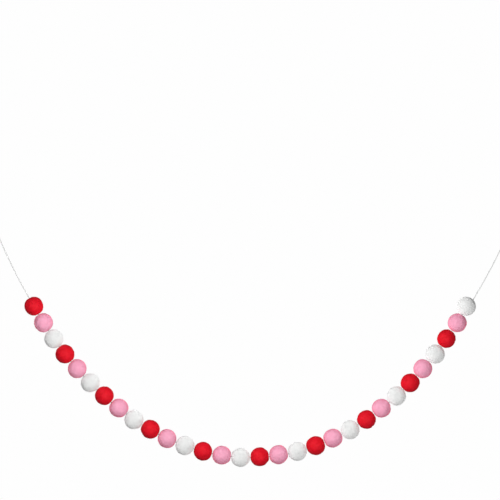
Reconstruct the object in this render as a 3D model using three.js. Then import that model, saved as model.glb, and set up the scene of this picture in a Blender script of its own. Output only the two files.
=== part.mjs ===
// A felt ball garland: thirty balls of felted wool threaded on one thin white string,
// red, pink and white in turn. The string hangs in a long swag between two tied loops.
//
// Millimetres, +Z up. The garland hangs in the XZ plane, with +X to the right and its front to -Y.
// The origin is in the middle of the swag, at the height of the lowest balls' undersides.
import * as THREE from 'three';

// Driving dimensions.
const BALL_DIAMETER = 20.4;
const BALL_PITCH = 20.75; // one ball and its share of the gaps, along the string
const BALLS_EACH_SIDE = 15; // of the lowest point
const STRING_DIAMETER = 1.2;
const CLEARANCE = 0.3; // between pieces that touch on the real garland

// The line of the swag. A plain hanging chain climbs with slope atan(s / SAG_RADIUS), where s is
// the length of string from the lowest point. The ties also draw the last balls up a little.
const SAG_RADIUS = 199;
const END_LIFT = THREE.MathUtils.degToRad(6.5);
const END_LIFT_POWER = 5;

// The string leaves the last ball at its own slope from the ball's middle, because a needle pushed
// by hand comes out a little off the far side's middle. Past it the string is bare for as many
// ball pitches as TAIL_LINKS, and curves up a little from each link to the next.
const TAIL_LINKS = 4;
const TAIL_BEND = THREE.MathUtils.degToRad(2);
const SIDES = [
  { name: 'left', way: -1, leavingDegrees: 60, tailDegrees: 61 },
  { name: 'right', way: 1, leavingDegrees: 45, tailDegrees: 59.5 },
];

// The tied end: a round knot, and a loop of the same string to hang the garland by.
const KNOT_DIAMETER = 3.6;
const KNOT_LENGTH = 4.4;
const LOOP_HEIGHT = 15;
const LOOP_SPREAD = 14; // how far apart the loop's curve is pulled, which sets its width

// Facets.
const BALL_SIDES = 12;
const BALL_RINGS = 10;
const STRING_SIDES = 8;
const LOOP_STEPS = 24;
const KNOT_RINGS = 6;

const FELT_COLOURS = ['red', 'pink', 'white'];
const MATERIALS = {
  red: new THREE.MeshStandardMaterial({ color: 0xe11d2c, roughness: 0.95, metalness: 0 }),
  pink: new THREE.MeshStandardMaterial({ color: 0xf1a9c4, roughness: 0.95, metalness: 0 }),
  white: new THREE.MeshStandardMaterial({ color: 0xecebea, roughness: 0.95, metalness: 0 }),
  string: new THREE.MeshStandardMaterial({ color: 0xe4e3e0, roughness: 0.9, metalness: 0 }),
};

const FRONT = new THREE.Vector3(0, -1, 0);

// A unit vector in the garland's plane, climbing at the slope towards one side.
function heading(way, slope) {
  return new THREE.Vector3(way * Math.cos(slope), 0, Math.sin(slope));
}

// How steeply the string climbs at a length along it from the lowest point.
function slopeAt(length) {
  const share = length / (BALLS_EACH_SIDE * BALL_PITCH);
  return Math.atan(length / SAG_RADIUS) + END_LIFT * share ** END_LIFT_POWER;
}

// One half of the string, as straight links: a ball sits on each threaded link, and the string
// bends only in the gaps. The bare tail goes on in links of the same length.
function halfString({ way, leavingDegrees, tailDegrees }) {
  const corners = [new THREE.Vector3()];
  const balls = [];
  for (let link = 0; link < BALLS_EACH_SIDE; link++) {
    const slope = slopeAt((link + 0.5) * BALL_PITCH);
    const last = link === BALLS_EACH_SIDE - 1;
    const leavingSlope = last ? THREE.MathUtils.degToRad(leavingDegrees) : slope;
    const direction = heading(way, slope);
    const centre = corners.at(-1).clone().addScaledVector(direction, BALL_PITCH / 2);
    balls.push({ centre, direction, lean: way * (leavingSlope - slope) });
    corners.push(centre.clone().addScaledVector(heading(way, leavingSlope), BALL_PITCH / 2));
  }
  let direction;
  for (let link = 0; link < TAIL_LINKS; link++) {
    direction = heading(way, THREE.MathUtils.degToRad(tailDegrees) + link * TAIL_BEND);
    corners.push(corners.at(-1).clone().addScaledVector(direction, BALL_PITCH));
  }
  return { corners, balls, endDirection: direction };
}

// A round section for string of the given diameter.
function roundSection(diameter) {
  const corners = [];
  for (let side = 0; side < STRING_SIDES; side++) {
    const angle = (side / STRING_SIDES) * 2 * Math.PI;
    corners.push(new THREE.Vector2(Math.cos(angle), Math.sin(angle)).multiplyScalar(diameter / 2));
  }
  return new THREE.Shape(corners);
}

function tubeAlong(path, steps) {
  return new THREE.ExtrudeGeometry(roundSection(STRING_DIAMETER), { steps, extrudePath: path });
}

// A felt ball with the string's hole through it, as one closed profile turned about the hole. Its
// upper half then leans over about the ball's middle, by the whole of lean at the hole's mouth.
// That leaves the ball round, and brings the straight hole out as far off the ball's axis.
function ballGeometry(lean) {
  const radius = BALL_DIAMETER / 2;
  const flats = Math.cos(Math.PI / BALL_SIDES); // the hole's flats lie this much nearer its axis
  const hole = (STRING_DIAMETER / 2 + CLEARANCE) / flats;
  const rim = Math.acos(hole / radius);
  const profile = [];
  for (let ring = 0; ring <= BALL_RINGS; ring++) {
    const angle = rim * ((2 * ring) / BALL_RINGS - 1);
    profile.push(new THREE.Vector2(radius * Math.cos(angle), radius * Math.sin(angle)));
  }
  profile.push(profile[0].clone());
  const geometry = new THREE.LatheGeometry(profile, BALL_SIDES);
  const places = geometry.attributes.position;
  const place = new THREE.Vector3();
  for (let i = 0; i < places.count; i++) {
    place.fromBufferAttribute(places, i);
    const height = Math.max(0, Math.asin(place.y / radius) / rim);
    place.applyAxisAngle(new THREE.Vector3(0, 0, 1), lean * height);
    places.setXYZ(i, place.x, place.y, place.z);
  }
  return geometry;
}

function knotGeometry() {
  const profile = [];
  for (let ring = 0; ring <= KNOT_RINGS; ring++) {
    const angle = Math.PI * (ring / KNOT_RINGS - 0.5);
    const onAxis = ring === 0 || ring === KNOT_RINGS;
    const radius = onAxis ? 0 : (KNOT_DIAMETER / 2) * Math.cos(angle);
    profile.push(new THREE.Vector2(radius, (KNOT_LENGTH / 2) * Math.sin(angle)));
  }
  return new THREE.LatheGeometry(profile, STRING_SIDES);
}

// The loop rises from the knot along +Y as one curve, its two legs a clearance apart at the knot.
function loopGeometry() {
  const leg = (STRING_DIAMETER + CLEARANCE) / 2;
  const pull = LOOP_HEIGHT / 0.75; // a cubic curve rises to three quarters of its handles' height
  const path = new THREE.CubicBezierCurve3(
    new THREE.Vector3(-leg, 0, 0),
    new THREE.Vector3(-LOOP_SPREAD, pull, 0),
    new THREE.Vector3(LOOP_SPREAD, pull, 0),
    new THREE.Vector3(leg, 0, 0),
  );
  return tubeAlong(path, LOOP_STEPS);
}

// The whole string, from one knot to the other.
function stringGeometry(corners) {
  const path = new THREE.CurvePath();
  for (let i = 1; i < corners.length; i++) path.add(new THREE.LineCurve3(corners[i - 1], corners[i]));
  const steps = corners.length - 1;
  path.arcLengthDivisions = steps * 8; // so that a section falls on every corner
  return tubeAlong(path, steps);
}

function piece(name, geometry, material) {
  const mesh = new THREE.Mesh(geometry, material);
  mesh.name = name;
  return mesh;
}

// Turns an object so that its own +Y, a lathe's axis, runs along the string and its +Z faces front.
function pointAlong(object, direction) {
  const across = new THREE.Vector3().crossVectors(direction, FRONT);
  object.quaternion.setFromRotationMatrix(new THREE.Matrix4().makeBasis(across, direction, FRONT));
}

// A knot and its loop, standing on the end of the string and in line with it.
function tiedEnd(name, foot, direction) {
  const knot = piece(`${name}_knot`, knotGeometry(), MATERIALS.string);
  knot.position.y = CLEARANCE + KNOT_LENGTH / 2;
  const loop = piece(`${name}_loop`, loopGeometry(), MATERIALS.string);
  loop.position.y = knot.position.y + KNOT_LENGTH / 2 + CLEARANCE;
  const end = new THREE.Group();
  end.add(knot, loop);
  end.position.copy(foot);
  pointAlong(end, direction);
  return end;
}

const [left, right] = SIDES.map(halfString);
const garland = new THREE.Group();

// The balls, numbered from the left, with the colours in turn.
[...left.balls.toReversed(), ...right.balls].forEach(({ centre, direction, lean }, index) => {
  const colour = FELT_COLOURS[index % FELT_COLOURS.length];
  const number = String(index + 1).padStart(2, '0');
  const mesh = piece(`ball_${number}_${colour}`, ballGeometry(lean), MATERIALS[colour]);
  mesh.position.copy(centre);
  pointAlong(mesh, direction);
  garland.add(mesh);
});

const corners = [...left.corners.toReversed(), ...right.corners.slice(1)];
garland.add(piece('string', stringGeometry(corners), MATERIALS.string));

SIDES.forEach(({ name }, side) => {
  const { corners: links, endDirection } = [left, right][side];
  garland.add(tiedEnd(name, links.at(-1), endDirection));
});

// The lowest balls' undersides go to Z = 0.
garland.position.z = BALL_DIAMETER / 2 - right.balls[0].centre.z;

export default garland;
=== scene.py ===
# %% [markdown]
# # A felt ball garland
#
# Thirty balls of felted wool, red, pink and white in turn, are threaded on one thin white string
# that hangs in a long swag between two tied loops. This lesson gives each piece its real shape and
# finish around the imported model. Lengths are in metres, +Z is up, and the garland's front is -Y.

import math

import bpy
import numpy as np
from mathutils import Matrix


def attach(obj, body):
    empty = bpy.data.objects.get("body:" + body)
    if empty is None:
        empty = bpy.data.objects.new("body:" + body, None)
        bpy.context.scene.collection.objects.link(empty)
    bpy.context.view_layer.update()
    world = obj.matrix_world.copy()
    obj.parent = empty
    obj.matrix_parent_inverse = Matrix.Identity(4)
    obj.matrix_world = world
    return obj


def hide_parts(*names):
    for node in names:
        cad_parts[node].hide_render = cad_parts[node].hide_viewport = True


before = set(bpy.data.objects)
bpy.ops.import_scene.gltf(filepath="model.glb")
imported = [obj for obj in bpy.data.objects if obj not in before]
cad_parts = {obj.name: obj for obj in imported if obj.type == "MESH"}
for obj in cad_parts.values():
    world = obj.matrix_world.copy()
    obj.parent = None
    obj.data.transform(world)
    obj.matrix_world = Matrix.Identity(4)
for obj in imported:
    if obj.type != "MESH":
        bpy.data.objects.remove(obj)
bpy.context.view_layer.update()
ball_names = sorted(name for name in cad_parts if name.startswith("ball_"))

# %% [markdown]
# ## The camera
#
# A long lens from three metres away shows all the balls from the same side, as a catalogue
# picture does. A short lens close by would show the end balls a little from their sides. The
# camera looks along +Y and isn't shifted, so the garland sits low in the picture because the
# camera stands higher than its middle.

# %% Set up the camera
MM = 0.001
CAMERA_DISTANCE = 3.0
FARTHEST_SEEN = 100.0  # well past the floor's far edge
PICTURE_WIDTH = 543.55 * MM  # what the picture takes in at the garland
PICTURE_MIDDLE = (-0.18 * MM, 235.45 * MM)  # X and Z of the point in the picture's middle

camera = bpy.data.objects.new("camera", bpy.data.cameras.new("camera"))
camera.location = (PICTURE_MIDDLE[0], -CAMERA_DISTANCE, PICTURE_MIDDLE[1])
camera.rotation_euler = (math.radians(90), 0, 0)
camera.data.lens = camera.data.sensor_width * CAMERA_DISTANCE / PICTURE_WIDTH
camera.data.clip_end = FARTHEST_SEEN
bpy.context.scene.collection.objects.link(camera)
bpy.context.scene.camera = camera
print(f"lens: {camera.data.lens:.1f} mm")

# %% [markdown]
# ## The line of the swag
#
# A string full of balls hangs as a chain does. The chain's slope at a length of string s from its
# lowest point is atan(s / SAG_RADIUS), and the ties draw the last few balls up a little more. One
# half of the string at a time is laid out in straight links, a ball on each, because felt keeps
# the string straight inside a ball and lets it bend only in the gaps. Working with lengths of
# string, not with X, keeps the balls evenly spaced however steep the swag gets.

# %% Lay out the string and the balls
BALL_RADIUS = 10.2 * MM
PITCH = 20.75 * MM  # one ball and its share of the gaps
BALLS_EACH_SIDE = 15
SAG_RADIUS = 199 * MM
END_LIFT = math.radians(6.5)
END_LIFT_POWER = 5
TAIL_LINKS = 4  # bare string past the last ball, in links as long as a ball's
TAIL_BEND = math.radians(2)


def heading(way, slope):
    """A unit vector in the garland's plane, climbing at the slope towards one side."""
    return np.array([way * math.cos(slope), 0.0, math.sin(slope)])


def half_string(way, leaving_degrees, tail_degrees):
    """Corners of one half of the string from the lowest point up, its balls, and its end's heading."""
    corners = [np.zeros(3)]
    balls = []
    for link in range(BALLS_EACH_SIDE):
        length = (link + 0.5) * PITCH
        share = length / (BALLS_EACH_SIDE * PITCH)
        slope = math.atan(length / SAG_RADIUS) + END_LIFT * share**END_LIFT_POWER
        last = link == BALLS_EACH_SIDE - 1
        leaving = math.radians(leaving_degrees) if last else slope
        centre = corners[-1] + heading(way, slope) * PITCH / 2
        balls.append({"centre": centre, "axis": heading(way, slope), "lean": way * (leaving - slope)})
        corners.append(centre + heading(way, leaving) * PITCH / 2)
    for link in range(TAIL_LINKS):
        tail = heading(way, math.radians(tail_degrees) + link * TAIL_BEND)
        corners.append(corners[-1] + tail * PITCH)
    return corners, balls, tail


left_corners, left_balls, left_heading = half_string(-1, leaving_degrees=60, tail_degrees=61)
right_corners, right_balls, right_heading = half_string(1, leaving_degrees=45, tail_degrees=59.5)
hang = np.array([0, 0, BALL_RADIUS - right_balls[0]["centre"][2]])  # the lowest balls touch Z = 0
string_route = np.array(left_corners[::-1] + right_corners[1:]) + hang
balls = left_balls[::-1] + right_balls
for name, ball in zip(ball_names, balls):
    ball["name"] = name
    ball["centre"] = ball["centre"] + hang

# %% [markdown]
# ## Meshes from grids of points
#
# Most of the garland is made of rings of points: a ring around the string, or around a ball's
# hole. Joining each ring to the next with four-sided faces gives a clean mesh without stray faces,
# which a remesher or a boolean can't promise. The same grid also gives a ball its flat map: one
# side of the map runs around the rings and the other along them.

# %% Turn rings of points into a mesh object
def mesh_object(name, points, faces, material):
    mesh = bpy.data.meshes.new(name)
    mesh.from_pydata([tuple(p) for p in points], [], faces)
    mesh.materials.append(material)
    mesh.polygons.foreach_set("use_smooth", [True] * len(mesh.polygons))
    mesh.update()
    piece = bpy.data.objects.new(name, mesh)
    bpy.context.scene.collection.objects.link(piece)
    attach(piece, "root")
    return piece


def ring_faces(rings, sides, closed):
    """Faces that join each ring to the next, and the last to the first where the rings are closed."""
    faces = []
    for ring in range(rings if closed else rings - 1):
        after = (ring + 1) % rings
        for side in range(sides):
            beside = (side + 1) % sides
            low = (ring * sides + side, ring * sides + beside)
            faces.append((*low, after * sides + beside, after * sides + side))
    return faces


print("faces between two rings of four points:", ring_faces(2, 4, closed=False))

# %% [markdown]
# ## String that is twisted from three plies
#
# Thin craft string is three plies twisted together. Seen across, they make a three-lobed section,
# and the section turns once in each lay, about three millimetres. A plain round tube with a bump
# map would lose that outline, so the tube's own section is lobed and each ring is turned a little
# further than the one before. Each ring is carried along the route without rolling, so that only
# the twist turns it.

# %% A lobed section
STRING_RADIUS = 0.6 * MM
STRING_LAY = 2.8 * MM
STRING_SIDES = 18
PLY_RADIUS = 0.4 * MM
PLY_OFFSET = STRING_RADIUS - PLY_RADIUS  # from the string's middle to a ply's middle


def lobed_section():
    """The outline of three plies side by side, as distances from the string's middle."""
    angles = np.linspace(0, 2 * math.pi, STRING_SIDES, endpoint=False)
    third = 2 * math.pi / 3
    off_ply = (angles + third / 2) % third - third / 2
    across = PLY_OFFSET * np.sin(off_ply)
    return angles, PLY_OFFSET * np.cos(off_ply) + np.sqrt(PLY_RADIUS**2 - across**2)


section_angles, section_radii = lobed_section()
groove, ply = section_radii.min() / MM, section_radii.max() / MM
print(f"string radius: {groove:.2f} mm in a groove, {ply:.2f} mm on a ply")


# %% A tube that follows a route
def evenly(route, spacing):
    """Points along a route of straight links, about one spacing apart."""
    steps = np.linalg.norm(np.diff(route, axis=0), axis=1)
    along = np.concatenate([[0], np.cumsum(steps)])
    stations = np.linspace(0, along[-1], int(round(along[-1] / spacing)) + 1)
    return np.stack([np.interp(stations, along, route[:, k]) for k in range(3)], axis=1), stations


def carried_sides(tangents, first_side):
    """A side vector for each ring, carried along the route without rolling."""
    side = first_side - tangents[0] * (first_side @ tangents[0])
    sides = []
    for tangent in tangents:
        side = side - tangent * (side @ tangent)
        side = side / np.linalg.norm(side)
        sides.append(side)
    return np.array(sides)


def write_values(mesh, name, values):
    """Stores one number for each point of the mesh, for a material to read."""
    attribute = mesh.attributes.new(name, "FLOAT", "POINT")
    attribute.data.foreach_set("value", np.asarray(values, np.float32))


FRONT = np.array([0.0, -1.0, 0.0])


def twisted_tube(name, route, spacing, material):
    """A closed three-ply string along the route, with how far each point is out on its ply."""
    middles, stations = evenly(route, spacing)
    tangents = np.gradient(middles, axis=0)
    tangents /= np.linalg.norm(tangents, axis=1)[:, None]
    sides = carried_sides(tangents, FRONT)
    others = np.cross(tangents, sides)
    turned = section_angles + 2 * math.pi * stations[:, None] / STRING_LAY
    rings = (
        middles[:, None]
        + (section_radii * np.cos(turned))[..., None] * sides[:, None]
        + (section_radii * np.sin(turned))[..., None] * others[:, None]
    )
    count = len(middles)
    points = np.concatenate([rings.reshape(-1, 3), middles[:1], middles[-1:]])
    faces = ring_faces(count, STRING_SIDES, closed=False)
    for side in range(STRING_SIDES):
        beside = (side + 1) % STRING_SIDES
        faces.append((count * STRING_SIDES, beside, side))
        last = (count - 1) * STRING_SIDES
        faces.append((count * STRING_SIDES + 1, last + side, last + beside))
    piece = mesh_object(name, points, faces, material)
    crest = np.tile((section_radii - section_radii.min()) / np.ptp(section_radii), count)
    write_values(piece.data, "crest", np.concatenate([crest, [0, 0]]))
    return piece


print(f"the string's twist goes round once in {STRING_LAY / MM:.1f} mm")

# %% [markdown]
# ## Fibres as a shader node group
#
# Felt is short curly wool fibres matted in every direction, and twisted cotton has fibres too, so
# both finishes share one node group. Noise that is stretched along one direction makes streaks,
# and folding it about its middle turns each streak into a thin ridge. Four such layers, each
# stretched another way and first bent by a slower noise, cross each other like matted fibres. The
# group puts out only values: the material decides what they colour or raise.

# %% Helpers for node trees
def add_node(tree, kind, place, **settings):
    node = tree.nodes.new(kind)
    node.location = place
    for key, value in settings.items():
        setattr(node, key, value)
    return node


def maths(tree, operation, place, *inputs):
    """A Math node. Each input is a number or another node's output."""
    node = add_node(tree, "ShaderNodeMath", place, operation=operation)
    for socket, value in zip(node.inputs, inputs):
        if isinstance(value, (int, float)):
            socket.default_value = value
        else:
            tree.links.new(value, socket)
    return node.outputs[0]


def node_group(name, inputs, outputs):
    """A new group. Inputs are names with default numbers, and outputs are names."""
    group = bpy.data.node_groups.new(name, "ShaderNodeTree")
    for label, value in inputs.items():
        socket = group.interface.new_socket(label, in_out="INPUT", socket_type="NodeSocketFloat")
        socket.default_value = value
    for label in outputs:
        group.interface.new_socket(label, in_out="OUTPUT", socket_type="NodeSocketFloat")
    entry = add_node(group, "NodeGroupInput", (-1400, 0))
    way_out = add_node(group, "NodeGroupOutput", (900, 0))
    return group, entry, way_out


# %% Space that curls, and one layer of fibres in it
BEND_SCALE = 0.8  # of the slow noise that bends the fibres, in waves for each millimetre
BEND_GAIN = 4.0  # brings that noise up to about 1 either way
FIBRE_WAYS = [(0.3, 0.2, 0.5), (1.4, 0.4, -0.7), (-0.5, 1.3, 1.1), (0.9, -0.8, 2.3)]  # turns, radians
LAYER_SHIFT = (7.0, 3.0)  # from each layer to the next, so that no two are alike
RIDGE_SHARPNESS = 9.0


def curled_space(group, in_mm, curl):
    """Space that a slow noise has bent, so that straight streaks laid in it curl."""
    bend = add_node(group, "ShaderNodeTexNoise", (-1200, 100))
    bend.inputs["Scale"].default_value = BEND_SCALE
    group.links.new(in_mm, bend.inputs["Vector"])
    centred = add_node(group, "ShaderNodeVectorMath", (-1000, 100), operation="SUBTRACT")
    centred.inputs[1].default_value = (0.5, 0.5, 0.5)
    group.links.new(bend.outputs["Color"], centred.inputs[0])
    curled = add_node(group, "ShaderNodeVectorMath", (-800, 150), operation="SCALE")
    group.links.new(centred.outputs[0], curled.inputs[0])
    group.links.new(maths(group, "MULTIPLY", (-1000, -50), curl, BEND_GAIN), curled.inputs["Scale"])
    bent = add_node(group, "ShaderNodeVectorMath", (-600, 250), operation="ADD")
    group.links.new(in_mm, bent.inputs[0])
    group.links.new(curled.outputs[0], bent.inputs[1])
    return bent.outputs[0]


def fibre_layer(group, number, space, stretch):
    """Ridges that all run one way: stretched noise, folded about its middle."""
    row = 400 - 300 * number
    turned = add_node(group, "ShaderNodeMapping", (-400, row))
    turned.inputs["Rotation"].default_value = FIBRE_WAYS[number]
    turned.inputs["Location"].default_value = (LAYER_SHIFT[0] * number, LAYER_SHIFT[1] * number, 0)
    group.links.new(space, turned.inputs["Vector"])
    drawn = add_node(group, "ShaderNodeVectorMath", (-200, row), operation="MULTIPLY")
    group.links.new(turned.outputs[0], drawn.inputs[0])
    group.links.new(stretch, drawn.inputs[1])
    noise = add_node(group, "ShaderNodeTexNoise", (0, row))
    noise.inputs["Scale"].default_value = 1.0
    noise.inputs["Detail"].default_value = 1.0
    group.links.new(drawn.outputs[0], noise.inputs["Vector"])
    off_middle = maths(group, "SUBTRACT", (100, row), noise.outputs[0], 0.5)
    folded = maths(group, "ABSOLUTE", (200, row), off_middle)
    steep = maths(group, "MULTIPLY", (250, row), folded, RIDGE_SHARPNESS)
    return maths(group, "SUBTRACT", (300, row), 1.0, steep)


print("layers of fibres:", len(FIBRE_WAYS))

# %% Build the matted fibres group
RIDGE_BLEND = 0.2
BLOTCH_DETAIL = 3.0
BLOTCH_ROUGHNESS = 0.6
BLOTCH_HEIGHT = 2.0  # against a ridge's 1


def matted_fibres():
    group, entry, way_out = node_group(
        "Matted fibres",
        {"Width mm": 0.16, "Length mm": 1.6, "Curl mm": 0.5, "Blotch mm": 3.5},
        ["Fibres", "Blotches", "Height"],
    )
    links = group.links
    place = add_node(group, "ShaderNodeTexCoord", (-1400, 300))
    in_mm = add_node(group, "ShaderNodeVectorMath", (-1200, 300), operation="SCALE")
    in_mm.inputs["Scale"].default_value = 1 / MM
    links.new(place.outputs["Object"], in_mm.inputs[0])
    space = curled_space(group, in_mm.outputs[0], entry.outputs["Curl mm"])

    # Half a wave of the noise is as wide, and as long, as a fibre.
    across = maths(group, "DIVIDE", (-800, -150), 0.5, entry.outputs["Width mm"])
    along = maths(group, "DIVIDE", (-800, -300), 0.5, entry.outputs["Length mm"])
    stretch = add_node(group, "ShaderNodeCombineXYZ", (-600, -200))
    links.new(across, stretch.inputs["X"])
    links.new(across, stretch.inputs["Y"])
    links.new(along, stretch.inputs["Z"])

    first_layer = fibre_layer(group, 0, space, stretch.outputs[0])
    ridges = maths(group, "MAXIMUM", (400, 400), first_layer, 0.0)
    for number in range(1, len(FIBRE_WAYS)):
        ridge = fibre_layer(group, number, space, stretch.outputs[0])
        ridges = maths(group, "SMOOTH_MAX", (400, 400 - 300 * number), ridges, ridge, RIDGE_BLEND)
    links.new(ridges, way_out.inputs["Fibres"])

    blotches = add_node(group, "ShaderNodeTexNoise", (400, -900))
    blotches.inputs["Detail"].default_value = BLOTCH_DETAIL
    blotches.inputs["Roughness"].default_value = BLOTCH_ROUGHNESS
    links.new(in_mm.outputs[0], blotches.inputs["Vector"])
    blotches_each_mm = maths(group, "DIVIDE", (200, -900), 1.0, entry.outputs["Blotch mm"])
    links.new(blotches_each_mm, blotches.inputs["Scale"])
    links.new(blotches.outputs[0], way_out.inputs["Blotches"])
    lifted = maths(group, "MULTIPLY", (600, -700), blotches.outputs[0], BLOTCH_HEIGHT)
    links.new(maths(group, "ADD", (700, -400), ridges, lifted), way_out.inputs["Height"])
    return group


fibre_group = matted_fibres()
print("node group:", fibre_group.name, [item.name for item in fibre_group.interface.items_tree])

# %% [markdown]
# ## Felt in three dyed colours
#
# Wet felted wool is matte: light goes in between the fibres and comes out scattered every way.
# Subsurface scattering could stand for that, but a ball this small then loses part of its light
# and looks like wax. So the Principled shader has hardly any gloss, and the pale felts have a
# rough diffuse part, which shades a ball less, and the fine glow of a sheen on fibre ends. Red
# wool swallows most of that scattered light, so it has neither. The colour also carries painted
# light: a painted highlight on the raised fibres and painted shade between them. The dye itself is
# uneven in soft blotches. Numbers that are the same all over sit on the shader's own sockets.

# %% Helpers for materials
def mixed_colour(tree, place, factor, first, second):
    """A colour between two others. Each is a colour or another node's output."""
    node = add_node(tree, "ShaderNodeMix", place, data_type="RGBA")
    tree.links.new(factor, node.inputs["Factor"])
    for socket, value in ((node.inputs["A"], first), (node.inputs["B"], second)):
        if isinstance(value, tuple):
            socket.default_value = (*value, 1)
        else:
            tree.links.new(value, socket)
    return node.outputs["Result"]


def spread(tree, place, value, low, high):
    """Stretches the middle part of a noise, low to high, over 0 to 1."""
    node = add_node(tree, "ShaderNodeMapRange", place, interpolation_type="SMOOTHSTEP")
    node.inputs["From Min"].default_value = low
    node.inputs["From Max"].default_value = high
    tree.links.new(value, node.inputs["Value"])
    return node.outputs["Result"]


def scaled(colour, by):
    return tuple(min(channel * factor, 1.0) for channel, factor in zip(colour, by))


def new_material(name):
    material = bpy.data.materials.new(name)
    material.use_nodes = True
    return material, material.node_tree, material.node_tree.nodes["Principled BSDF"]


def set_inputs(node, values):
    """Sets a node's own sockets to the numbers and colours given for them."""
    for socket, value in values.items():
        node.inputs[socket].default_value = value


def bump_up(tree, shader, height, strength, distance):
    """Lets a height that changes over the surface tilt its normals."""
    bump = add_node(tree, "ShaderNodeBump", (-300, -250))
    bump.inputs["Strength"].default_value = strength
    bump.inputs["Distance"].default_value = distance
    tree.links.new(height, bump.inputs["Height"])
    tree.links.new(bump.outputs["Normal"], shader.inputs["Normal"])


# %% Make the felt materials
BLOTCH_RANGE = (0.32, 0.68)  # the middle part of the blotches' noise
DYES = {
    "red": (0.73, 0.0035, 0.014),
    "pink": (0.89, 0.395, 0.55),
    "white": (0.79, 0.795, 0.79),
}
# Painted shade between the fibres and a painted highlight on the raised ones, as changes to the dye's
# channels.
FELT_PAINTED_SHADE_AND_HIGHLIGHT = {
    "red": {"between": (0.86, 0.6, 0.7), "raised": (1.06, 1.8, 1.6)},
    "pink": {"between": (0.97, 0.86, 0.9), "raised": (1.02, 1.1, 1.07)},
    "white": {"between": (0.96, 0.96, 0.96), "raised": (1.03, 1.03, 1.03)},
}
LOOKS = {
    "red": {
        "Roughness": 0.6,
        "Specular IOR Level": 0.15,
    },
    "pink": {
        "Roughness": 0.6,
        "Specular IOR Level": 0.3,
        "Diffuse Roughness": 0.2,
        "Sheen Weight": 1.0,
        "Sheen Roughness": 0.45,
        "Sheen Tint": (1, 0.01, 0.1, 1),
    },
    "white": {
        "Roughness": 0.9,
        "Specular IOR Level": 0.2,
        "Diffuse Roughness": 0.8,
        "Sheen Weight": 0.3,
        "Sheen Roughness": 0.5,
    },
}


def felt(colour):
    material, tree, shader = new_material(f"felt_{colour}")
    dye = DYES[colour]
    fibres = add_node(tree, "ShaderNodeGroup", (-900, 0), node_tree=fibre_group)
    blotches = spread(tree, (-650, 150), fibres.outputs["Blotches"], *BLOTCH_RANGE)
    # Painted shade between the fibres and a painted highlight on the raised ones, each lighter where
    # the blotches are.
    painted_shade_between = mixed_colour(tree, (-450, 200), blotches, scaled(dye, FELT_PAINTED_SHADE_AND_HIGHLIGHT[colour]["between"]), dye)
    light = mixed_colour(tree, (-450, -50), blotches, dye, scaled(dye, FELT_PAINTED_SHADE_AND_HIGHLIGHT[colour]["raised"]))
    surface = mixed_colour(tree, (-250, 100), fibres.outputs["Fibres"], painted_shade_between, light)
    tree.links.new(surface, shader.inputs["Base Color"])
    bump_up(tree, shader, fibres.outputs["Height"], strength=0.7, distance=0.09 * MM)
    set_inputs(shader, LOOKS[colour])
    return material


felts = {colour: felt(colour) for colour in DYES}
print("felts:", sorted(felts))

# %% [markdown]
# ## White string
#
# The string is bleached cotton: matte and slightly fuzzy. Its colour has painted shade in the
# grooves between its plies, where less light gets in, and a painted highlight on the fibres of the
# plies. The mesh already has the grooves, and it stores for each point how far out on its ply it
# is, so the material can paint the shade into the grooves. Its fibres are the felt's node group with
# finer and longer streaks.

# %% Make the string's material
STRING_COLOUR = (0.71, 0.715, 0.71)
# Painted shade in the grooves and on the fibres there, and a painted highlight on the fibres of the
# plies.
GROOVE_PAINTED_SHADE = (0.88, 0.88, 0.88)
GROOVE_FIBRE_PAINTED_SHADE = (0.9, 0.9, 0.9)
PLY_FIBRE_PAINTED_HIGHLIGHT = (1.08, 1.08, 1.08)
COTTON_FIBRES = {"Width mm": 0.07, "Length mm": 1.2, "Curl mm": 0.15}
COTTON_LOOK = {"Roughness": 0.9, "Specular IOR Level": 0.2, "Sheen Weight": 0.1}


def cotton_string():
    material, tree, shader = new_material("white_string")
    crest = add_node(tree, "ShaderNodeAttribute", (-900, 300), attribute_name="crest").outputs["Fac"]
    fibres = add_node(tree, "ShaderNodeGroup", (-900, 0), node_tree=fibre_group)
    set_inputs(fibres, COTTON_FIBRES)
    plies = mixed_colour(tree, (-600, 250), crest, scaled(STRING_COLOUR, GROOVE_PAINTED_SHADE), STRING_COLOUR)
    lit = mixed_colour(tree, (-600, -50), crest, scaled(STRING_COLOUR, GROOVE_FIBRE_PAINTED_SHADE),
                       scaled(STRING_COLOUR, PLY_FIBRE_PAINTED_HIGHLIGHT))
    surface = mixed_colour(tree, (-350, 100), fibres.outputs["Fibres"], plies, lit)
    tree.links.new(surface, shader.inputs["Base Color"])
    bump_up(tree, shader, fibres.outputs["Fibres"], strength=0.5, distance=0.03 * MM)
    set_inputs(shader, COTTON_LOOK)
    return material


string_cotton = cotton_string()
print("string material:", string_cotton.name)

# %% [markdown]
# ## The threaded string
#
# One string runs from knot to knot through all the balls. It is made before them, as the line
# that everything else follows. Each end goes on into its knot, so that no end shows.

# %% Make the string
STRING_SPACING = 0.5 * MM  # from ring to ring, five or six in each lay
CLEARANCE = 0.3 * MM
KNOT_LENGTH = 4.4 * MM


def past_ends(route, reach):
    """The route with both ends carried straight on."""
    before = (route[0] - route[1]) / np.linalg.norm(route[0] - route[1])
    after = (route[-1] - route[-2]) / np.linalg.norm(route[-1] - route[-2])
    return np.concatenate([[route[0] + before * reach], route, [route[-1] + after * reach]])


into_knots = past_ends(string_route, CLEARANCE + KNOT_LENGTH / 2)
string_piece = twisted_tube("twisted_string", into_knots, STRING_SPACING, string_cotton)
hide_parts("string")
print("string faces:", len(string_piece.data.polygons))

# %% [markdown]
# ## Knots and hanging loops
#
# At each end the string turns back on itself in a loop, and its tail is wrapped round the two legs
# and pulled tight. The wraps are a short helix whose ends tuck inwards. The loop is one cubic
# curve, wide in the middle and pinched at the knot, which is the shape that a limp string takes
# when it hangs from a pin.

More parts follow.
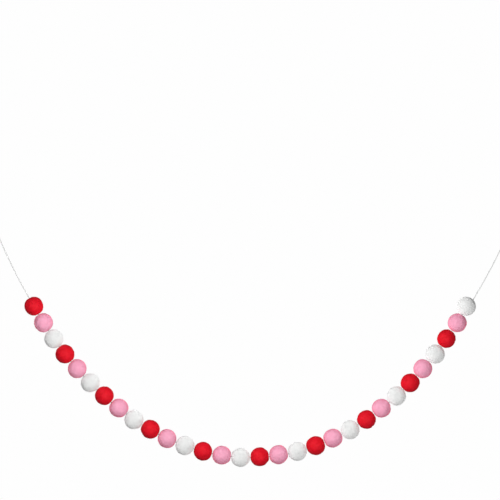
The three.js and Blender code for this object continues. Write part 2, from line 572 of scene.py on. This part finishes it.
# %% Lay out a knot and a loop
WRAP_RADIUS = 1.5 * MM  # to the middle of the wrapping string
WRAP_TURNS = 3.2
WRAP_PITCH = 1.12 * MM
WRAP_POINTS = 90
TUCK_TURNS = 0.35  # of a turn at each end, where the wrap goes inwards
TUCKED_SHARE = 0.35  # of the wrap's radius, that an end tucks in to
LOOP_HEIGHT = 15 * MM
LOOP_SPREAD = 14 * MM
LOOP_POINTS = 61
HANDLE_RISE = 0.75  # a cubic curve rises to three quarters of its handles' height
LEG_OFFSET = 0.55 * MM  # of each leg from the knot's middle line


def wrap_route():
    """The wrapping helix, standing on the knot's foot, along +Y of its own frame."""
    turn = np.linspace(0, WRAP_TURNS, WRAP_POINTS)
    tuck = np.clip(np.minimum(turn, WRAP_TURNS - turn) / TUCK_TURNS, 0, 1)
    eased = tuck * tuck * (3 - 2 * tuck)
    radius = WRAP_RADIUS * (TUCKED_SHARE + (1 - TUCKED_SHARE) * eased)
    angle = 2 * math.pi * turn
    height = KNOT_LENGTH / 2 + WRAP_PITCH * (turn - WRAP_TURNS / 2)
    return np.stack([radius * np.cos(angle), height, radius * np.sin(angle)], axis=1)


def loop_route():
    """The hanging loop's curve, with both legs carried down into the knot."""
    pull = LOOP_HEIGHT / HANDLE_RISE
    share = np.linspace(0, 1, LOOP_POINTS)[:, None]
    foot = np.array([[-LEG_OFFSET, 0, 0], [LEG_OFFSET, 0, 0]])
    handle = np.array([[-LOOP_SPREAD, pull, 0], [LOOP_SPREAD, pull, 0]])
    curve = (
        (1 - share) ** 3 * foot[0]
        + 3 * (1 - share) ** 2 * share * handle[0]
        + 3 * (1 - share) * share**2 * handle[1]
        + share**3 * foot[1]
    )
    down = np.array([0, -CLEARANCE - KNOT_LENGTH / 2, 0])
    return np.concatenate([foot[:1] + down, curve, foot[1:] + down])


def standing_on(route, foot, up):
    """Turns a route so that its own +Y runs along up and its +Z faces front, then puts it on foot."""
    across = np.cross(up, FRONT)
    return foot + route[:, :1] * across + route[:, 1:2] * up + route[:, 2:] * FRONT


print("wrapping string:", round(WRAP_TURNS * 2 * math.pi * WRAP_RADIUS / MM), "mm")

# %% Tie both ends
KNOT_SPACING = 0.3 * MM  # from ring to ring
LOOP_SPACING = 0.4 * MM
ENDS = [
    {"side": "left", "end": string_route[0], "up": left_heading},
    {"side": "right", "end": string_route[-1], "up": right_heading},
]


def tied_piece(name, route, foot, up, spacing, node):
    piece = twisted_tube(name, standing_on(route, foot, up), spacing, string_cotton)
    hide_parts(node)
    return piece


tied_pieces = []
for tie in ENDS:
    side, up = tie["side"], tie["up"]
    knot_foot = tie["end"] + CLEARANCE * up
    loop_foot = knot_foot + (KNOT_LENGTH + CLEARANCE) * up
    knot = tied_piece(f"knot_{side}", wrap_route(), knot_foot, up, KNOT_SPACING, f"{side}_knot")
    loop = tied_piece(f"loop_{side}", loop_route(), loop_foot, up, LOOP_SPACING, f"{side}_loop")
    tied_pieces += [knot, loop]

print("tied ends:", [piece.name for piece in tied_pieces])

# %% [markdown]
# ## The shape of a felted ball
#
# A ball of wool rolled by hand is never quite round: it is a little out of round, gently lumpy,
# and here and there a fold of roving has felted into a shallow crease. Its surface is a sphere
# pushed in and out by smooth random fields in space. Each ball sits in another place in those
# fields, so each gets its own shape, and the same one every time. Around the string the felt is
# drawn into a dimple. Building each ball from rings around its hole keeps the hole open and the
# mesh closed, which a sphere with a boolean cut wouldn't do as cleanly.

# %% Random fields that shape the felt
WAVES = 32  # in each field
WAVELENGTH_RANGE = (0.75, 1.4)  # of the waves in a field, against its own wavelength
RELIEF = {
    "out of round": {"seed": 11, "wavelength": 24 * MM, "height": 0.13 * MM},
    "lumps": {"seed": 12, "wavelength": 9 * MM, "height": 0.08 * MM},
    "tufts": {"seed": 15, "wavelength": 3.6 * MM, "height": 0.055 * MM},
    "nap": {"seed": 16, "wavelength": 2.1 * MM, "height": 0.045 * MM},
}
CREASE_DEPTH = 0.2 * MM
CREASE_WIDTH = 0.3  # how near 0 the folds' field is inside a crease
CREASE_RARITY = 0.2  # how far above 0 the places' field has to be for a crease


def wave_field(seed, wavelength):
    """A smooth random field in space that varies by about 1 either way."""
    random = np.random.default_rng(seed)
    ways = random.normal(size=(WAVES, 3))
    ways /= np.linalg.norm(ways, axis=1)[:, None]
    lengths = wavelength * random.uniform(*WAVELENGTH_RANGE, WAVES)
    phases = random.uniform(0, 2 * math.pi, WAVES)
    pulses = ways * (2 * math.pi / lengths)[:, None]
    return lambda points: np.cos(points @ pulses.T + phases).sum(axis=1) * math.sqrt(2 / WAVES)


relief_fields = [
    (wave_field(kind["seed"], kind["wavelength"]), kind["height"]) for kind in RELIEF.values()
]
folds = wave_field(seed=13, wavelength=6 * MM)
fold_places = wave_field(seed=14, wavelength=11 * MM)


def felt_relief(points):
    """How far the felt stands out from a plain ball at these points."""
    in_fold = np.exp(-((folds(points) / CREASE_WIDTH) ** 2))
    crease = in_fold * np.clip(fold_places(points) - CREASE_RARITY, 0, 1)
    return sum(height * field(points) for field, height in relief_fields) - CREASE_DEPTH * crease


print("relief:", sorted(RELIEF), "and creases")

# %% Find a ball's surface in any direction
HOLE_RADIUS = 0.68 * MM
DIMPLE_DEPTH = 0.45 * MM
DIMPLE_WIDTH = 0.17  # radians
FADE_WIDTH = 2 * DIMPLE_WIDTH  # over which the relief and the ball's shift die away to the mouths
RIM = math.acos(HOLE_RADIUS / BALL_RADIUS)  # the latitude of the hole's mouths


def ball_surface(ball, latitudes, longitudes):
    """Points on one ball, with latitude measured from its middle towards the hole's mouths."""
    turn = ball["lean"] * np.clip(latitudes / RIM, 0, 1)  # leans the upper mouth to the string
    across = np.cos(latitudes) * np.cos(longitudes)
    along = np.sin(latitudes)
    behind = np.cos(latitudes) * np.sin(longitudes)
    ways = (
        (across * np.cos(turn) - along * np.sin(turn))[:, None] * np.cross(ball["axis"], FRONT)
        + (across * np.sin(turn) + along * np.cos(turn))[:, None] * ball["axis"]
        - behind[:, None] * FRONT
    )
    from_mouth = math.pi / 2 - np.abs(latitudes)
    open_felt = 1 - np.exp(-((from_mouth / FADE_WIDTH) ** 2))
    radius = BALL_RADIUS * ball["size"] - DIMPLE_DEPTH * np.exp(-((from_mouth / DIMPLE_WIDTH) ** 2))
    plain = ball["centre"] + ways * BALL_RADIUS
    radius = radius + felt_relief(plain) * open_felt
    return ball["centre"] + ways * radius[:, None] + ball["shift"] * open_felt[:, None], ways


print(f"the hole's mouths lie {math.degrees(RIM):.1f} degrees from the middle")

# %% Build the thirty balls
BALL_ROWS = 54
BALL_COLUMNS = 96
HOLE_ROWS = 3


def unroll(mesh, rings, sides):
    """Gives a piece of closed rings its flat map: around the rings one way, across them the other."""
    flat = mesh.uv_layers.new(name="OFBake")
    ring, side = np.divmod(np.arange(rings * sides), sides)
    corners = np.array([[0, 0], [1, 0], [1, 1], [0, 1]])
    spots = (np.stack([side, ring], axis=1)[:, None] + corners) / [sides, rings]
    flat.data.foreach_set("uv", spots.reshape(-1).astype(np.float32))


def felt_ball(ball):
    colour = ball["colour"]
    latitudes = np.linspace(-RIM, RIM, BALL_ROWS + 1)
    longitudes = np.linspace(0, 2 * math.pi, BALL_COLUMNS, endpoint=False)
    rows, columns = (g.reshape(-1) for g in np.meshgrid(latitudes, longitudes, indexing="ij"))
    skin, _ = ball_surface(ball, rows, columns)
    rings = skin.reshape(BALL_ROWS + 1, BALL_COLUMNS, 3)
    down = np.linspace(0, 1, HOLE_ROWS + 2)[1:-1, None, None]
    hole = rings[-1] * (1 - down) + rings[0] * down
    rings = np.concatenate([rings, hole])
    faces = ring_faces(len(rings), BALL_COLUMNS, closed=True)
    piece = mesh_object(f"felt_{ball['name']}", rings.reshape(-1, 3), faces, felts[colour])
    unroll(piece.data, len(rings), BALL_COLUMNS)
    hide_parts(ball["name"])


SIZE_SPREAD = 0.004  # of the balls' sizes, against 1
SHIFT_ACROSS = 0.22 * MM  # how far a ball sits off the string's line, across it and to the front
SHIFT_FORWARDS = 0.3 * MM

random = np.random.default_rng(2026)
for ball in balls:
    ball["colour"] = ball["name"].split("_")[-1]
    ball["size"] = random.normal(1, SIZE_SPREAD)
    across = np.cross(FRONT, ball["axis"])
    ball["shift"] = across * random.normal(0, SHIFT_ACROSS) + FRONT * random.normal(0, SHIFT_FORWARDS)
    felt_ball(ball)
print("balls:", len(balls), "faces on each:", (BALL_ROWS + 1 + HOLE_ROWS) * BALL_COLUMNS)

# %% [markdown]
# ## Loose fibres
#
# However well wool is felted, some fibres stay loose: most lie over the surface, curled, and the
# rest stand off it and soften the outline. Hair particles would do that in a render, but they are
# gone from a mesh. So each fibre is a thin three-sided needle, pointed at both ends, that starts in
# the felt and bends along its surface. All the fibres of one colour are one piece. A number stored
# on each fibre makes one a shade lighter or darker than the next.

# %% Scatter fibres over the balls
FIBRES_EACH_BALL = 1640
FIBRE_RADIUS = 0.021 * MM
STANDING_SHARE = 0.35  # of the fibres, that stand off the felt
FIBRE_STEPS = 3
FIBRE_CURL = 1.1  # radians, by which a fibre may turn along its length
STANDING = {"length": (0.6 * MM, 1.7 * MM), "lift": (0.2 * MM, 0.9 * MM)}
LYING = {"length": (1.4 * MM, 3.6 * MM), "lift": (0.01 * MM, 0.09 * MM)}
LIFT_POWER = 1.3  # a fibre leaves the felt slowly at first
NEAREST_MOUTH = 0.985  # the sine of the highest latitude where a fibre starts
LEAST_RADIUS = 0.17  # of a latitude's circle, against the ball's, so that no fibre spins round a mouth


def fibre_lines(ball, random):
    """Points along each loose fibre of one ball, with the way out of the felt at each."""
    count = FIBRES_EACH_BALL
    start_latitude = np.arcsin(random.uniform(-NEAREST_MOUTH, NEAREST_MOUTH, count))
    start_longitude = random.uniform(0, 2 * math.pi, count)
    way = random.uniform(0, 2 * math.pi, count)
    standing = random.random(count) < STANDING_SHARE
    length, lift = (
        np.where(standing, random.uniform(*STANDING[size], count), random.uniform(*LYING[size], count))
        for size in ("length", "lift")
    )
    curl = random.normal(0, FIBRE_CURL, count)
    lines, outward = [], []
    for step in range(FIBRE_STEPS + 1):
        share = step / FIBRE_STEPS
        bearing = way + curl * share
        reach = length * share / BALL_RADIUS
        latitude = np.clip(start_latitude + reach * np.sin(bearing), -RIM, RIM)
        circle = np.maximum(np.cos(start_latitude), LEAST_RADIUS)
        longitude = start_longitude + reach * np.cos(bearing) / circle
        skin, ways = ball_surface(ball, latitude, longitude)
        height = lift * share**LIFT_POWER - FIBRE_RADIUS * (1 - share)
        lines.append(skin + ways * height[:, None])
        outward.append(ways)
    return np.stack(lines, axis=1), np.stack(outward, axis=1)


print("fibres on each ball:", FIBRES_EACH_BALL)


# %% Give the fibres their thickness
def needles(lines, outward):
    """Each line's first point, three-sided rings at its middle points, and its last point."""
    tangents = np.gradient(lines, axis=1)
    tangents /= np.linalg.norm(tangents, axis=2)[..., None]
    sides = np.cross(outward, tangents)
    sides /= np.linalg.norm(sides, axis=2)[..., None]
    ups = np.cross(tangents, sides)
    corners = []
    for corner in range(3):
        angle = 2 * math.pi * corner / 3 + math.pi / 2
        offset = math.cos(angle) * sides + math.sin(angle) * ups
        corners.append(lines + offset * FIBRE_RADIUS)
    rings = np.stack(corners, axis=2)[:, 1:-1].reshape(len(lines), -1, 3)
    return np.concatenate([lines[:, :1], rings, lines[:, -1:]], axis=1)


print(f"fibres are up to {2 * FIBRE_RADIUS / MM:.3f} mm across")


# %% One needle's faces and its place on the flat map
def needle_pattern():
    """The faces of one needle, and for each face corner its place in the needle's own square."""
    rings = FIBRE_STEPS - 1
    tip = 1 + 3 * rings
    faces, spots = [], []
    for side in range(3):
        beside = (side + 1) % 3
        left, middle, right = side / 3, (side + 0.5) / 3, (side + 1) / 3
        faces.append((0, 1 + beside, 1 + side))
        spots += [(middle, 0), (right, 1 / FIBRE_STEPS), (left, 1 / FIBRE_STEPS)]
        for ring in range(1, rings):
            low, high = 1 + 3 * (ring - 1), 1 + 3 * ring
            faces.append((low + side, low + beside, high + beside, high + side))
            bottom, top = ring / FIBRE_STEPS, (ring + 1) / FIBRE_STEPS
            spots += [(left, bottom), (right, bottom), (right, top), (left, top)]
        last = 1 + 3 * (rings - 1)
        faces.append((last + side, last + beside, tip))
        spots += [(left, rings / FIBRE_STEPS), (right, rings / FIBRE_STEPS), (middle, 1)]
    return faces, np.array(spots)


print("faces on each fibre:", len(needle_pattern()[0]))

# %% Make the loose fibres
FLAT_MARGIN = 0.1  # of each needle's own square on the flat map


def loose_fibres(colour, material, random):
    own_balls = [ball for ball in balls if ball["colour"] == colour]
    points = np.concatenate([needles(*fibre_lines(ball, random)) for ball in own_balls])
    count, each = points.shape[:2]
    pattern, spots = needle_pattern()
    faces = [tuple(v + each * fibre for v in face) for fibre in range(count) for face in pattern]
    piece = mesh_object(f"loose_fibres_{colour}", points.reshape(-1, 3), faces, material)
    write_values(piece.data, "shade", np.repeat(random.random(count), each))
    across = math.ceil(math.sqrt(count))
    row, column = np.divmod(np.arange(count), across)
    inset = FLAT_MARGIN + (1 - 2 * FLAT_MARGIN) * spots
    flat = piece.data.uv_layers.new(name="OFBake")
    places = (np.stack([column, row], axis=1)[:, None] + inset) / across
    flat.data.foreach_set("uv", places.reshape(-1).astype(np.float32))
    return piece


FIBRE_LOOK = {"Roughness": 0.9, "Specular IOR Level": 0.15}
# How the dye's channels change from the darkest fibres to the lightest ones.
FIBRE_SHADES = {
    "red": {"darker": (0.82, 0.5, 0.6), "lighter": (1.1, 1.8, 1.6)},
    "pink": {"darker": (0.96, 0.85, 0.9), "lighter": (1.05, 1.2, 1.12)},
    "white": {"darker": (0.94, 0.94, 0.94), "lighter": (1.08, 1.08, 1.08)},
}


def fibre_material(colour, darker, lighter):
    """Wool fibre of the felt's dye, a little lighter or darker from one fibre to the next."""
    material, tree, shader = new_material(f"wool_fibre_{colour}")
    shade = add_node(tree, "ShaderNodeAttribute", (-600, 100), attribute_name="shade")
    mixed = mixed_colour(tree, (-300, 100), shade.outputs["Fac"], scaled(DYES[colour], darker),
                         scaled(DYES[colour], lighter))
    tree.links.new(mixed, shader.inputs["Base Color"])
    set_inputs(shader, FIBRE_LOOK)
    return material


for colour, shades in FIBRE_SHADES.items():
    wool = fibre_material(colour, shades["darker"], shades["lighter"])
    fibres = loose_fibres(colour, wool, random)
    print(fibres.name, "faces:", len(fibres.data.polygons))

# %% [markdown]
# ## Light, background and floor
#
# Four soft round lights stand around the garland, unseen by the camera. The key light hangs in
# front of the swag, above its curve and to the left, and the fill light stands further in front,
# lower and to the right, so every ball is lit on its inner side and shaded on its outer one. Real
# lights so close would be far brighter on the nearest balls, so their strength is made the same at
# any distance. Two lights behind keep the back and the sides from going grey, and are kept off the
# gloss, which would show them from the front as a hard rim. The world is white where the camera
# sees it, and dimmer as a light, so that shade isn't washed out. The pale floor lies a metre below
# the hanging garland. It glows a little, to run into the white background without an edge, and its
# glow is kept off the felt.

# %% Light the garland
LIGHT_RADIUS = 110 * MM
LIGHTS = {
    "key_light": {"place": (-230 * MM, -300 * MM, 330 * MM), "watts": 19, "behind": False},
    "fill_light": {"place": (110 * MM, -550 * MM, 50 * MM), "watts": 24, "behind": False},
    "left_back_light": {"place": (-700 * MM, 850 * MM, 0), "watts": 31, "behind": True},
    "right_back_light": {"place": (700 * MM, 850 * MM, 0), "watts": 31, "behind": True},
}


def even_strength(lamp_data):
    """Makes a lamp light near and far things alike, as bright as it is a metre away."""
    lamp_data.use_nodes = True
    tree = lamp_data.node_tree
    falloff = add_node(tree, "ShaderNodeLightFalloff", (-200, 0))
    falloff.inputs["Strength"].default_value = 1
    tree.links.new(falloff.outputs["Constant"], tree.nodes["Emission"].inputs["Strength"])


for name, light in LIGHTS.items():
    lamp = bpy.data.objects.new(name, bpy.data.lights.new(name, "POINT"))
    lamp.data.shadow_soft_size = LIGHT_RADIUS
    lamp.data.energy = light["watts"]
    lamp.location = light["place"]
    lamp.visible_camera = False
    lamp.visible_glossy = not light["behind"]
    if not light["behind"]:
        even_strength(lamp.data)
    bpy.context.scene.collection.objects.link(lamp)
print("lights:", {name: light["watts"] for name, light in LIGHTS.items()}, "W")

# %% Surround it with white
AMBIENT = 0.21  # the world's grey as a light
BACKGROUND = 0.991  # and as the camera sees it


def studio_world():
    world = bpy.data.worlds.new("studio")
    world.use_nodes = True
    tree = world.node_tree
    tree.nodes.clear()
    seen = add_node(tree, "ShaderNodeBackground", (-200, 150))
    seen.inputs["Color"].default_value = (BACKGROUND, BACKGROUND, BACKGROUND, 1)
    lights = add_node(tree, "ShaderNodeBackground", (-200, -50))
    lights.inputs["Color"].default_value = (AMBIENT, AMBIENT, AMBIENT, 1)
    path = add_node(tree, "ShaderNodeLightPath", (-200, 450))
    either = add_node(tree, "ShaderNodeMixShader", (50, 100))
    way_out = add_node(tree, "ShaderNodeOutputWorld", (250, 100))
    tree.links.new(path.outputs["Is Camera Ray"], either.inputs["Fac"])
    tree.links.new(lights.outputs[0], either.inputs[1])
    tree.links.new(seen.outputs[0], either.inputs[2])
    tree.links.new(either.outputs[0], way_out.inputs["Surface"])
    return world


bpy.context.scene.world = studio_world()
bpy.context.scene.view_settings.view_transform = "Standard"
print("ambient light:", AMBIENT)

# %% Lay the floor
FLOOR_DEPTH = 1.0
FLOOR_REACH = 6.0  # each way from the middle
FLOOR_CORNERS = ((-1, -1), (1, -1), (1, 1), (-1, 1))
FLOOR_LOOK = {
    "Base Color": (0.9, 0.9, 0.9, 1),
    "Roughness": 0.9,
    "Emission Color": (0.9, 0.9, 0.9, 1),
    "Emission Strength": 0.97,
}

floor_material, _, floor_shader = new_material("pale_floor")
set_inputs(floor_shader, FLOOR_LOOK)
corners = [(FLOOR_REACH * x, FLOOR_REACH * y, -FLOOR_DEPTH) for x, y in FLOOR_CORNERS]
floor_mesh = bpy.data.meshes.new("floor")
floor_mesh.from_pydata(corners, [], [(0, 1, 2, 3)])
floor_mesh.materials.append(floor_material)
floor = bpy.data.objects.new("floor", floor_mesh)
floor.visible_diffuse = False
floor.visible_glossy = False
bpy.context.scene.collection.objects.link(floor)
print("floor:", 2 * FLOOR_REACH, "m across,", FLOOR_DEPTH, "m below the garland")
